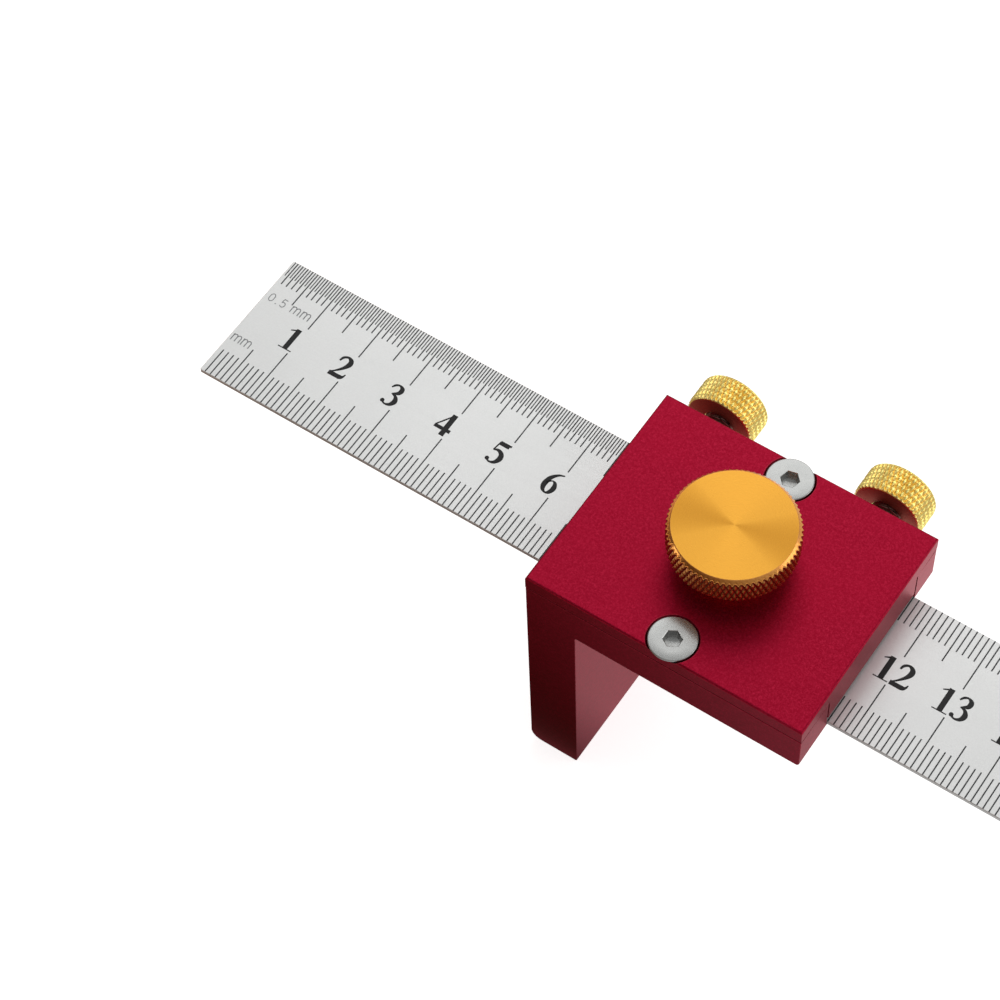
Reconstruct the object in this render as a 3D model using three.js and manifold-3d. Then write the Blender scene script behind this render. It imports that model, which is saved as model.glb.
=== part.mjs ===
// A marking gauge: an L-shaped fence block that holds a steel rule.
//
// Millimetres, +Z up. The origin is where the fence's working face meets the rule's
// underside, on the rule's centreline. +X runs along the rule, from the fence face
// to the block's free end, and +Y points out of the side with the two thumbscrews.
//
// The rule lies in a channel milled across the block. A cover plate closes the
// channel with a tongue that fits down into it. The clamp screw in the cover presses
// a brass pad on the rule, and two side thumbscrews press brass pads on its edge.

import * as THREE from "three";
import { mergeVertices } from "three/addons/utils/BufferGeometryUtils.js";
import Module from "manifold-3d";

const wasm = await Module();
wasm.setup();

// ---------------------------------------------------------------- driving dimensions

// Steel rule: a 200 mm scale and a rounded tail with a hanging hole.
const RULE_WIDTH = 25.5;
const RULE_THICKNESS = 0.8;
const RULE_SCALE = 200;
const RULE_TAIL = 25;
const RULE_READING = 68; // scale mark that stands at the fence face
const HANGING_HOLE_R = 2.5;
const HANGING_HOLE_FROM_END = 8;

// Fence block: flange with the channel, and the leg that hangs from one end.
const BLOCK_LENGTH = 48;
const NEAR_Y = -20.75;
const FAR_Y = 18.65;
const FLOOR = 0.6; // metal left under the rule
const SEAM_Z = 6.5; // where the cover sits on the body
const COVER_THICKNESS = 3;
const LEG_THICKNESS = 8.8;
const OVERALL_HEIGHT = 50;
const LEG_CORNER_R = 2;
const FLANGE_CORNER_R = 0.7;
const COVER_CHAMFER = 0.4;

// Channel, and the tongue under the cover.
const CHANNEL_HALF_WIDTH = 13;
const TONGUE_HALF_WIDTH = 12.6;
const TONGUE_ABOVE_RULE = 1;

// Clamp screw, M6, with its knob and pad.
const CLAMP_R = 3;
const CLAMP_HOLE_R = 3.15;
const KNOB_R = 10.15;
const KNOB_FACE_R = 9.45;
const KNOB_RISE = 9.4; // top of the knob above the cover
const KNOB_HEAD = 5.2;
const KNOB_NECK_R = 5.5;
const KNOB_NECK_GAP = 0.9;
const KNOB_SOCKET_DEPTH = 5.8;
const PAD_R = 4.7;
const PAD_THICKNESS = 1.6;
const PAD_POCKET_R = 5;
const PAD_LIFT = 1.1; // room for the pad above its rest place

// Side thumbscrews, M5, through the wall on the +Y side.
const SIDE_X = [7.6, 37.6];
const SIDE_Z = 2.9;
const SIDE_R = 2.5;
const SIDE_BORE_R = 2.65;
const SIDE_KNOB_R = 5.9;
const SIDE_KNOB_WIDTH = 5.4;
const SIDE_KNOB_GAP = 3.3;
const SIDE_SOCKET_DEPTH = 3.6;
const SIDE_PAD_R = 2.5;
const SIDE_PAD_THICKNESS = 1.6;

// Cover screws, M4 x 8, countersunk with a 2.5 mm hex socket.
const SCREW_FROM_EDGE = 3.15;
const SCREW_HEAD_R = 3.75;
const SCREW_PROUD = 0.1;
const SCREW_RIM = 0.35;
const SCREW_R = 1.95;
const SCREW_LENGTH = 8;
const SCREW_HOLE_R = 2.15;
const SCREW_HOLE_FLOOR_Z = 0.4;
const SOCKET_ACROSS_FLATS = 2.5;
const SOCKET_DEPTH = 1.8;

const REST_GAP = 0.1; // pads stand this far off the rule, so that it can slide
const SWIVEL_GAP = 0.05; // play between a screw's end and its pad
const EDGE_BREAK = 0.3; // small chamfers on turned pieces
const CUT = 1; // how far a cutting shape runs past the face it opens
const ROUND = 48; // facets around a turned piece

// ------------------------------------------------------------------- derived places

const COVER_TOP = SEAM_Z + COVER_THICKNESS;
const LEG_BOTTOM = COVER_TOP - OVERALL_HEIGHT;
const BLOCK_DEPTH = FAR_Y - NEAR_Y;
const BLOCK_MID_Y = (FAR_Y + NEAR_Y) / 2;
const TONGUE_BOTTOM = RULE_THICKNESS + TONGUE_ABOVE_RULE;
const PAD_BOTTOM = RULE_THICKNESS + REST_GAP;
const PAD_TOP = PAD_BOTTOM + PAD_THICKNESS;
const CLAMP_X = BLOCK_LENGTH / 2;
const SIDE_PAD_FRONT = RULE_WIDTH / 2 + REST_GAP;
const SIDE_PAD_BACK = SIDE_PAD_FRONT + SIDE_PAD_THICKNESS;

// ------------------------------------------------------------------ shape helpers

function toSolid(geometry) {
  const bare = geometry.index ? geometry.toNonIndexed() : geometry.clone();
  bare.deleteAttribute("normal");
  bare.deleteAttribute("uv");
  const merged = mergeVertices(bare, 1e-4);
  const mesh = new wasm.Mesh({
    numProp: 3,
    vertProperties: new Float32Array(merged.attributes.position.array),
    triVerts: new Uint32Array(merged.index.array),
  });
  return new wasm.Manifold(mesh);
}

function toGeometry(solid) {
  const mesh = solid.getMesh();
  const geometry = new THREE.BufferGeometry();
  geometry.setAttribute("position", new THREE.BufferAttribute(mesh.vertProperties, 3));
  geometry.setIndex(new THREE.BufferAttribute(mesh.triVerts, 1));
  geometry.computeVertexNormals();
  return geometry;
}

// A profile in the XZ plane, carried along Y from near to far.
function prismAlongY(profile, nearY, farY) {
  const geometry = new THREE.ExtrudeGeometry(profile, {
    depth: farY - nearY,
    bevelEnabled: false,
    curveSegments: 12,
  });
  geometry.rotateX(Math.PI / 2);
  geometry.translate(0, farY, 0);
  return geometry;
}

// A profile in the YZ plane, carried along X from one end to the other.
function prismAlongX(profile, startX, endX) {
  const geometry = new THREE.ExtrudeGeometry(profile, {
    depth: endX - startX,
    bevelEnabled: false,
  });
  const basis = new THREE.Matrix4().makeBasis(
    new THREE.Vector3(0, 1, 0),
    new THREE.Vector3(0, 0, 1),
    new THREE.Vector3(1, 0, 0),
  );
  geometry.applyMatrix4(basis);
  geometry.translate(startX, 0, 0);
  return geometry;
}

function box(x0, x1, y0, y1, z0, z1) {
  const geometry = new THREE.BoxGeometry(x1 - x0, y1 - y0, z1 - z0);
  geometry.translate((x0 + x1) / 2, (y0 + y1) / 2, (z0 + z1) / 2);
  return geometry;
}

// Turned shapes take [radius, height] pairs, from the axis out and back to it.
function turnedAboutY(pairs) {
  const points = pairs.map(([radius, height]) => new THREE.Vector2(radius, height));
  return new THREE.LatheGeometry(points, ROUND);
}

function turnedAboutZ(pairs) {
  return turnedAboutY(pairs).rotateX(Math.PI / 2);
}

function rod(radius, from, to) {
  return [
    [0, from],
    [radius, from],
    [radius, to],
    [0, to],
  ];
}

function polygon(pairs) {
  return new THREE.Shape(pairs.map(([x, y]) => new THREE.Vector2(x, y)));
}

function piece(name, geometry, material) {
  const mesh = new THREE.Mesh(geometry, material.clone());
  mesh.name = name;
  return mesh;
}

// ---------------------------------------------------------------------- materials

const redAnodised = new THREE.MeshStandardMaterial({
  color: 0x9e102a,
  roughness: 0.5,
  metalness: 0.7,
});
const goldAnodised = new THREE.MeshStandardMaterial({
  color: 0xe6a233,
  roughness: 0.3,
  metalness: 0.9,
});
const ruleSteel = new THREE.MeshStandardMaterial({
  color: 0xd7d7d7,
  roughness: 0.45,
  metalness: 0.8,
});
const screwSteel = new THREE.MeshStandardMaterial({
  color: 0xc8cccd,
  roughness: 0.35,
  metalness: 0.9,
});
const padBrass = new THREE.MeshStandardMaterial({
  color: 0xb8923e,
  roughness: 0.4,
  metalness: 0.9,
});

// ---------------------------------------------------------------------- the rule

function steelRule() {
  const start = -RULE_READING;
  const end = start + RULE_SCALE + RULE_TAIL;
  const half = RULE_WIDTH / 2;
  const outline = new THREE.Shape();
  outline.moveTo(start, -half);
  outline.lineTo(end - half, -half);
  outline.absarc(end - half, 0, half, -Math.PI / 2, Math.PI / 2, false);
  outline.lineTo(start, half);
  outline.closePath();
  const hole = new THREE.Path();
  hole.absarc(end - HANGING_HOLE_FROM_END, 0, HANGING_HOLE_R, 0, 2 * Math.PI, true);
  outline.holes.push(hole);
  return new THREE.ExtrudeGeometry(outline, {
    depth: RULE_THICKNESS,
    bevelEnabled: false,
    curveSegments: 32,
  });
}

// ------------------------------------------------------------------- the block

function fenceProfile() {
  const profile = new THREE.Shape();
  const end = BLOCK_LENGTH;
  profile.moveTo(0, SEAM_Z);
  profile.lineTo(0, LEG_BOTTOM + LEG_CORNER_R);
  profile.absarc(LEG_CORNER_R, LEG_BOTTOM + LEG_CORNER_R, LEG_CORNER_R, Math.PI, 1.5 * Math.PI, false);
  profile.lineTo(LEG_THICKNESS, LEG_BOTTOM);
  profile.lineTo(LEG_THICKNESS, -FLOOR);
  profile.lineTo(end - FLANGE_CORNER_R, -FLOOR);
  const cornerZ = FLANGE_CORNER_R - FLOOR;
  profile.absarc(end - FLANGE_CORNER_R, cornerZ, FLANGE_CORNER_R, 1.5 * Math.PI, 2 * Math.PI, false);
  profile.lineTo(end, SEAM_Z);
  profile.closePath();
  return profile;
}

function screwPlaces() {
  return [
    ["cover_screw_near", NEAR_Y + SCREW_FROM_EDGE],
    ["cover_screw_far", FAR_Y - SCREW_FROM_EDGE],
  ];
}

function fenceBody() {
  let body = toSolid(prismAlongY(fenceProfile(), NEAR_Y, FAR_Y));
  const half = CHANNEL_HALF_WIDTH;
  body = body.subtract(toSolid(box(-CUT, BLOCK_LENGTH + CUT, -half, half, 0, SEAM_Z + CUT)));
  for (const [, y] of screwPlaces()) {
    const hole = turnedAboutZ(rod(SCREW_HOLE_R, SCREW_HOLE_FLOOR_Z, SEAM_Z + CUT));
    body = body.subtract(toSolid(hole.translate(CLAMP_X, y, 0)));
  }
  for (const x of SIDE_X) {
    const bore = turnedAboutY(rod(SIDE_BORE_R, half - CUT, FAR_Y + CUT));
    body = body.subtract(toSolid(bore.translate(x, 0, SIDE_Z)));
  }
  return toGeometry(body);
}

// ------------------------------------------------------------------- the cover

// Seen along X: the plate with its tongue, and chamfers on the two long top edges.
function coverAcross() {
  const c = COVER_CHAMFER;
  return polygon([
    [NEAR_Y, SEAM_Z],
    [-TONGUE_HALF_WIDTH, SEAM_Z],
    [-TONGUE_HALF_WIDTH, TONGUE_BOTTOM],
    [TONGUE_HALF_WIDTH, TONGUE_BOTTOM],
    [TONGUE_HALF_WIDTH, SEAM_Z],
    [FAR_Y, SEAM_Z],
    [FAR_Y, COVER_TOP - c],
    [FAR_Y - c, COVER_TOP],
    [NEAR_Y + c, COVER_TOP],
    [NEAR_Y, COVER_TOP - c],
  ]);
}

// Seen along Y: the plate's length, with chamfers on the two short top edges.
function coverAlong() {
  const c = COVER_CHAMFER;
  return polygon([
    [0, TONGUE_BOTTOM - CUT],
    [BLOCK_LENGTH, TONGUE_BOTTOM - CUT],
    [BLOCK_LENGTH, COVER_TOP - c],
    [BLOCK_LENGTH - c, COVER_TOP],
    [c, COVER_TOP],
    [0, COVER_TOP - c],
  ]);
}

// The screw head's seat: a short cylinder, then a 45 degree cone down to the hole.
function countersink() {
  const play = EDGE_BREAK;
  const headR = SCREW_HEAD_R + play;
  const coneTop = COVER_TOP + SCREW_PROUD - SCREW_RIM;
  const coneBottom = coneTop - (SCREW_HEAD_R - SCREW_R);
  return turnedAboutZ([
    [0, SEAM_Z - CUT],
    [SCREW_R + play, SEAM_Z - CUT],
    [SCREW_R + play, coneBottom],
    [headR, coneTop],
    [headR, COVER_TOP + CUT],
    [0, COVER_TOP + CUT],
  ]);
}

// The threaded hole for the clamp screw, with the pad's pocket below it.
function clampHole() {
  const pocketTop = PAD_TOP + PAD_LIFT;
  return turnedAboutZ([
    [0, TONGUE_BOTTOM - CUT],
    [PAD_POCKET_R, TONGUE_BOTTOM - CUT],
    [PAD_POCKET_R, pocketTop],
    [CLAMP_HOLE_R, pocketTop],
    [CLAMP_HOLE_R, COVER_TOP + CUT],
    [0, COVER_TOP + CUT],
  ]);
}

function coverPlate() {
  let cover = toSolid(prismAlongX(coverAcross(), 0, BLOCK_LENGTH));
  cover = cover.intersect(toSolid(prismAlongY(coverAlong(), NEAR_Y - CUT, FAR_Y + CUT)));
  for (const [, y] of screwPlaces()) {
    cover = cover.subtract(toSolid(countersink().translate(CLAMP_X, y, 0)));
  }
  cover = cover.subtract(toSolid(clampHole().translate(CLAMP_X, BLOCK_MID_Y, 0)));
  return toGeometry(cover);
}

// ------------------------------------------------------- cover screws, about +Z

// Heights here are measured from the cover's top face.
function coverScrew() {
  const rimBottom = SCREW_PROUD - SCREW_RIM;
  const tip = SCREW_PROUD - SCREW_LENGTH;
  const body = turnedAboutZ([
    [0, tip],
    [SCREW_R - EDGE_BREAK, tip],
    [SCREW_R, tip + EDGE_BREAK],
    [SCREW_R, rimBottom - (SCREW_HEAD_R - SCREW_R)],
    [SCREW_HEAD_R, rimBottom],
    [SCREW_HEAD_R, SCREW_PROUD],
    [0, SCREW_PROUD],
  ]);
  const cornerR = SOCKET_ACROSS_FLATS / Math.sqrt(3);
  const hexagon = new THREE.CylinderGeometry(cornerR, cornerR, SOCKET_DEPTH + CUT, 6);
  hexagon.rotateX(Math.PI / 2);
  hexagon.translate(0, 0, SCREW_PROUD - SOCKET_DEPTH / 2 + CUT / 2);
  return toGeometry(toSolid(body).subtract(toSolid(hexagon)));
}

// --------------------------------------------------------- clamp screw, about +Z

// Heights here are measured from the cover's top face.
function clampKnob() {
  const underHead = KNOB_RISE - KNOB_HEAD;
  const faceEdge = KNOB_R - KNOB_FACE_R;
  return turnedAboutZ([
    [0, KNOB_NECK_GAP + KNOB_SOCKET_DEPTH],
    [CLAMP_R + SWIVEL_GAP, KNOB_NECK_GAP + KNOB_SOCKET_DEPTH],
    [CLAMP_R + SWIVEL_GAP, KNOB_NECK_GAP],
    [KNOB_NECK_R - EDGE_BREAK, KNOB_NECK_GAP],
    [KNOB_NECK_R, KNOB_NECK_GAP + EDGE_BREAK],
    [KNOB_NECK_R, underHead],
    [KNOB_R - EDGE_BREAK, underHead],
    [KNOB_R, underHead + EDGE_BREAK],
    [KNOB_R, KNOB_RISE - faceEdge],
    [KNOB_FACE_R, KNOB_RISE],
    [0, KNOB_RISE],
  ]);
}

function clampStud() {
  const shoulder = PAD_TOP + SWIVEL_GAP - COVER_TOP;
  const noseR = CLAMP_R / 2;
  const nose = shoulder - PAD_THICKNESS / 2;
  return turnedAboutZ([
    [0, nose],
    [noseR, nose],
    [noseR, shoulder],
    [CLAMP_R - EDGE_BREAK, shoulder],
    [CLAMP_R, shoulder + EDGE_BREAK],
    [CLAMP_R, KNOB_NECK_GAP + KNOB_SOCKET_DEPTH],
    [0, KNOB_NECK_GAP + KNOB_SOCKET_DEPTH],
  ]);
}

function clampPad() {
  const bottom = PAD_BOTTOM - COVER_TOP;
  const top = PAD_TOP - COVER_TOP;
  const seatR = CLAMP_R / 2 + EDGE_BREAK;
  const seat = top - PAD_THICKNESS / 2 - SWIVEL_GAP;
  return turnedAboutZ([
    [0, bottom],
    [PAD_R - EDGE_BREAK, bottom],
    [PAD_R, bottom + EDGE_BREAK],
    [PAD_R, top],
    [seatR, top],
    [seatR, seat],
    [0, seat],
  ]);
}

// ------------------------------------------------------ side thumbscrews, about +Y

// Distances here are measured outwards from the block's +Y face.
function sideKnob() {
  const inner = SIDE_KNOB_GAP;
  const outer = SIDE_KNOB_GAP + SIDE_KNOB_WIDTH;
  return turnedAboutY([
    [0, inner + SIDE_SOCKET_DEPTH],
    [SIDE_R + SWIVEL_GAP, inner + SIDE_SOCKET_DEPTH],
    [SIDE_R + SWIVEL_GAP, inner],
    [SIDE_KNOB_R - EDGE_BREAK, inner],
    [SIDE_KNOB_R, inner + EDGE_BREAK],
    [SIDE_KNOB_R, outer - 2 * EDGE_BREAK],
    [SIDE_KNOB_R - 2 * EDGE_BREAK, outer],
    [0, outer],
  ]);
}

function sideStud() {
  const shoulder = SIDE_PAD_BACK + SWIVEL_GAP - FAR_Y;
  const noseR = SIDE_R / 3;
  const nose = shoulder - SIDE_PAD_THICKNESS / 2;
  return turnedAboutY([
    [0, nose],
    [noseR, nose],
    [noseR, shoulder],
    [SIDE_R - EDGE_BREAK, shoulder],
    [SIDE_R, shoulder + EDGE_BREAK],
    [SIDE_R, SIDE_KNOB_GAP + SIDE_SOCKET_DEPTH],
    [0, SIDE_KNOB_GAP + SIDE_SOCKET_DEPTH],
  ]);
}

function sidePad() {
  const front = SIDE_PAD_FRONT - FAR_Y;
  const back = SIDE_PAD_BACK - FAR_Y;
  const seatR = SIDE_R / 3 + EDGE_BREAK;
  const seat = back - SIDE_PAD_THICKNESS / 2 - SWIVEL_GAP;
  return turnedAboutY([
    [0, front],
    [SIDE_PAD_R, front],
    [SIDE_PAD_R, back],
    [seatR, back],
    [seatR, seat],
    [0, seat],
  ]);
}

// ----------------------------------------------------------------------- assembly

const gauge = new THREE.Group();

gauge.add(piece("steel_rule", steelRule(), ruleSteel));
gauge.add(piece("fence_body", fenceBody(), redAnodised));
gauge.add(piece("cover_plate", coverPlate(), redAnodised));

for (const [name, y] of screwPlaces()) {
  const screw = piece(name, coverScrew(), screwSteel);
  screw.position.set(CLAMP_X, y, COVER_TOP);
  gauge.add(screw);
}

const clamp = new THREE.Group();
clamp.position.set(CLAMP_X, BLOCK_MID_Y, COVER_TOP);
clamp.add(piece("clamp_knob", clampKnob(), goldAnodised));
clamp.add(piece("clamp_stud", clampStud(), screwSteel));
clamp.add(piece("clamp_pad", clampPad(), padBrass));
gauge.add(clamp);

for (const [index, end] of ["fence_end", "free_end"].entries()) {
  const thumbscrew = new THREE.Group();
  thumbscrew.position.set(SIDE_X[index], FAR_Y, SIDE_Z);
  thumbscrew.add(piece(`side_knob_${end}`, sideKnob(), goldAnodised));
  thumbscrew.add(piece(`side_stud_${end}`, sideStud(), screwSteel));
  thumbscrew.add(piece(`side_pad_${end}`, sidePad(), padBrass));
  gauge.add(thumbscrew);
}

export default gauge;
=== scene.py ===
"""The look of the marking gauge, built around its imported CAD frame.

Shapes are worked out in millimetres in the CAD's own frame and written to Blender in metres.
+X runs along the rule, +Y out of the side with the two thumbscrews, +Z up.
"""

import math

import bmesh
import bpy
from mathutils import Matrix, Vector


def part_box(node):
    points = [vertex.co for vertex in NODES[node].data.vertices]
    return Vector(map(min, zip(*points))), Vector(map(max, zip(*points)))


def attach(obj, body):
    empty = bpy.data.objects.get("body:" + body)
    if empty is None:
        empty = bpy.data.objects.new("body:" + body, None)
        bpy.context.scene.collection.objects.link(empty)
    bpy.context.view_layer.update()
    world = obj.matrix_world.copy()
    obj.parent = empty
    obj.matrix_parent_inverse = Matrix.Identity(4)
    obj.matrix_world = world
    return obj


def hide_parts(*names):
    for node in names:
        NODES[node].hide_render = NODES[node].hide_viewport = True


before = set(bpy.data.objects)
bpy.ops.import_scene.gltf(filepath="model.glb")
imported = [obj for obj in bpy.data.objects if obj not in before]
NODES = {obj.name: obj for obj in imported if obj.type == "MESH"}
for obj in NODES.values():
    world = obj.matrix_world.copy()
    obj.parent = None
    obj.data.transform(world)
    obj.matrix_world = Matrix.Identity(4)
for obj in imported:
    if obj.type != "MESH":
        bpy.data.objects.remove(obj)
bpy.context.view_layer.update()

MM = 0.001


def box_mm(node):
    """Lowest and highest corner of a CAD node, in millimetres."""
    low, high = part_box(node)
    return low / MM, high / MM


RULE_LOW, RULE_HIGH = box_mm("steel_rule")
# The blade's faces stay inside its CAD box: it clears the channel floor, and its marks end
# below the box's top, where the clamp pad comes down.
RULE_BACK = RULE_LOW.z + 0.01
RULE_FACE = RULE_HIGH.z - 0.02
BODY_LOW, BODY_HIGH = box_mm("fence_body")
COVER_LOW, COVER_HIGH = box_mm("cover_plate")

# ---------------------------------------------------------------- sizes, in millimetres

LEG_THICKNESS = 8.8
FLANGE_UNDERSIDE = -0.6
CHANNEL_HALF = 13.0
TONGUE_HALF = 12.6
LEG_CORNER_R = 2.0
LEG_TOE_R = 0.3
LEG_FILLET_R = 0.4
FLANGE_CORNER_R = 0.7
EDGE_BREAK = 0.15
COVER_CHAMFER = 0.38
SEAM_BREAK = 0.3
SEAM_DEEP = 0.4

SCREW_SHANK_R = 1.95
SCREW_PITCH = 0.7
CLAMP_THREAD_R = 3.0
CLAMP_PITCH = 1.0
SIDE_THREAD_R = 2.5
SIDE_PITCH = 0.8
STUD_NOSE_LONG = 0.8
SIDE_FACE_DISH = 0.15

RULE_CORNER_R = 0.3
RULE_EDGE_BREAK = 0.1
HANGING_HOLE_R = 2.5
HANGING_HOLE_FROM_END = 8
MARK_PROUD = 0.01
MARK_STEP = 0.002
MARK_HEIGHTS = 5
MARK_SUNK = 0.02
TICK_WIDTH = 0.21
# The lengths of the centimetre, the five-millimetre and the millimetre marks on each edge.
NEAR_TICKS = (9.95, 7.55, 5.0)
FAR_TICKS = (9.75, 7.3, 4.8)
HALF_TICK = 3.1

# A cutting tool reaches this far past the surface that it opens.
OVERCUT = 1
# The limit on a radius where nothing is cut.
UNCUT = 1e9

FLOOR_GLOW = 0.75
WHITE = (1.0, 1.0, 1.0, 1.0)

# ------------------------------------------------------------------------- mesh helpers


def new_object(name, verts, faces):
    mesh = bpy.data.meshes.new(name)
    mesh.from_pydata([tuple(v) for v in verts], [], faces)
    mesh.validate()
    obj = bpy.data.objects.new(name, mesh)
    bpy.context.scene.collection.objects.link(obj)
    outward(obj)
    return obj


def outward(obj):
    """Turns all faces to look out of the solid."""
    work = bmesh.new()
    work.from_mesh(obj.data)
    bmesh.ops.recalc_face_normals(work, faces=work.faces)
    work.to_mesh(obj.data)
    work.free()


def cut(target, tool):
    """Cuts tool out of target, keeps the result in target and deletes tool."""
    modifier = target.modifiers.new("cut", "BOOLEAN")
    modifier.operation = "DIFFERENCE"
    modifier.object = tool
    modifier.solver = "EXACT"
    graph = bpy.context.evaluated_depsgraph_get()
    result = bpy.data.meshes.new_from_object(target.evaluated_get(graph))
    target.modifiers.clear()
    target.data = result
    bpy.data.objects.remove(tool)


def publish(obj, body, material, node=None, smooth_angle=32.0):
    """Turns a finished millimetre mesh into a piece of the object, in metres."""
    obj.data.transform(Matrix.Scale(MM, 4))
    obj.data.materials.clear()
    obj.data.materials.append(material)
    obj.data.shade_smooth()
    obj.data.set_sharp_from_angle(angle=math.radians(smooth_angle))
    flatten = obj.modifiers.new("flat faces stay flat", "WEIGHTED_NORMAL")
    flatten.keep_sharp = True
    flatten.weight = 100
    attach(obj, body)
    if node:
        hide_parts(node)
    return obj


def round_edges(obj, chosen, offset, segments=2):
    """Bevels the edges for which chosen(first corner, second corner) is true."""
    work = bmesh.new()
    work.from_mesh(obj.data)
    edges = [e for e in work.edges if chosen(e.verts[0].co, e.verts[1].co)]
    bmesh.ops.bevel(work, geom=edges, offset=offset, segments=segments, profile=0.5, affect="EDGES")
    work.to_mesh(obj.data)
    work.free()


def near(value, target):
    """True for two places in millimetres that are the same but for rounding."""
    return abs(value - target) < 1e-4


# ---------------------------------------------------------------------- outline helpers


def arc(cx, cy, radius, start, end, steps):
    """Points on a circle from start to end, in degrees."""
    out = []
    for i in range(steps + 1):
        angle = math.radians(start + (end - start) * i / steps)
        out.append((cx + radius * math.cos(angle), cy + radius * math.sin(angle)))
    return out


def inset(outline, distance):
    """The same points moved inwards along their mitres; outline runs anticlockwise."""
    out = []
    count = len(outline)
    for i in range(count):
        before = Vector(outline[i - 1])
        here = Vector(outline[i])
        after = Vector(outline[(i + 1) % count])
        first = (here - before).normalized()
        second = (after - here).normalized()
        normal_1 = Vector((-first.y, first.x))
        normal_2 = Vector((-second.y, second.x))
        mitre = normal_1 + normal_2
        scale = distance / max(0.2, 1 + normal_1.dot(normal_2))
        out.append(tuple(here + mitre * scale))
    return out


def prism(name, outline, levels, place):
    """A closed prism. levels are (position, inset) pairs, place turns (a, b, position) to XYZ."""
    verts, faces = [], []
    count = len(outline)
    for position, distance in levels:
        ring = inset(outline, distance) if distance else outline
        verts += [place(a, b, position) for a, b in ring]
    for level in range(len(levels) - 1):
        base = level * count
        for i in range(count):
            j = (i + 1) % count
            faces.append((base + i, base + j, base + count + j, base + count + i))
    faces.append(tuple(range(count)))
    top = (len(levels) - 1) * count
    faces.append(tuple(range(top, top + count)))
    return new_object(name, verts, faces)


def along_z(a, b, position):
    return (a, b, position)


def along_y(a, b, position):
    return (a, position, b)


def along_x(a, b, position):
    return (position, a, b)


def slab(name, x0, x1, y0, y1, z0, z1):
    """A plain sharp box, used as a cutting tool."""
    outline = [(x0, y0), (x1, y0), (x1, y1), (x0, y1)]
    return prism(name, outline, [(z0, 0), (z1, 0)], along_z)


# ----------------------------------------------------------------------- turned shapes


def turned(name, profile, columns=96, relief=None):
    """A closed body of revolution about Z. profile holds (radius, height) pairs from axis to axis.

    relief(angle, height) gives the outer limit of the radius there, for a knurl or a thread. How
    far it cuts in, in millimetres, is kept on each corner as "groove" for the materials.
    """
    verts, faces, rings, grooves = [], [], [], []
    for radius, height in profile:
        if radius < 1e-6:
            rings.append([len(verts)])
            verts.append((0.0, 0.0, height))
            grooves.append(0.0)
            continue
        ring = []
        for i in range(columns):
            angle = 2 * math.pi * i / columns
            r = min(radius, relief(angle, height)) if relief else radius
            ring.append(len(verts))
            verts.append((r * math.cos(angle), r * math.sin(angle), height))
            grooves.append(radius - r)
        rings.append(ring)
    for low, high in zip(rings, rings[1:]):
        for i in range(columns):
            j = (i + 1) % columns
            if len(low) == 1:
                faces.append((low[0], high[j], high[i]))
            elif len(high) == 1:
                faces.append((low[i], low[j], high[0]))
            else:
                faces.append((low[i], low[j], high[j], high[i]))
    obj = new_object(name, verts, faces)
    if relief:
        obj.data.attributes.new("groove", "FLOAT", "POINT").data.foreach_set("value", grooves)
    return obj


def moved(obj, x, y, z):
    obj.data.transform(Matrix.Translation((x, y, z)))
    return obj


def axis_to_y(obj):
    """Turns a shape made about +Z so that it points along +Y."""
    obj.data.transform(Matrix.Rotation(math.radians(-90), 4, "X"))
    return obj


def rows(start, end, step):
    """Heights from start to end, evenly spaced, about step apart."""
    count = max(1, round((end - start) / step))
    return [start + (end - start) * i / count for i in range(count + 1)]


def knurl(radius, teeth, pitch, depth):
    """Diamond knurling: pyramids between two crossing sets of grooves."""
    steepness = 1.5

    def limit(angle, height):
        around = angle * teeth / (2 * math.pi)
        along = height / pitch
        first = abs(2 * ((around + along) % 1) - 1)
        second = abs(2 * ((around - along) % 1) - 1)
        crest = min(1.0, steepness * min(1 - first, 1 - second))
        return radius - depth * (1 - crest)

    return limit


def thread(radius, pitch, depth, start):
    """A right-hand V thread that begins at height start and runs upwards."""
    steepness = 1.6
    flat_crest = 0.3

    def limit(angle, height):
        if height < start:
            return radius
        phase = (height / pitch - angle / (2 * math.pi)) % 1
        groove = min(1.0, max(0.0, steepness * (1 - abs(2 * phase - 1)) - flat_crest))
        return radius - depth * groove

    return limit


# ------------------------------------------------------------------------ node helpers


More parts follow.
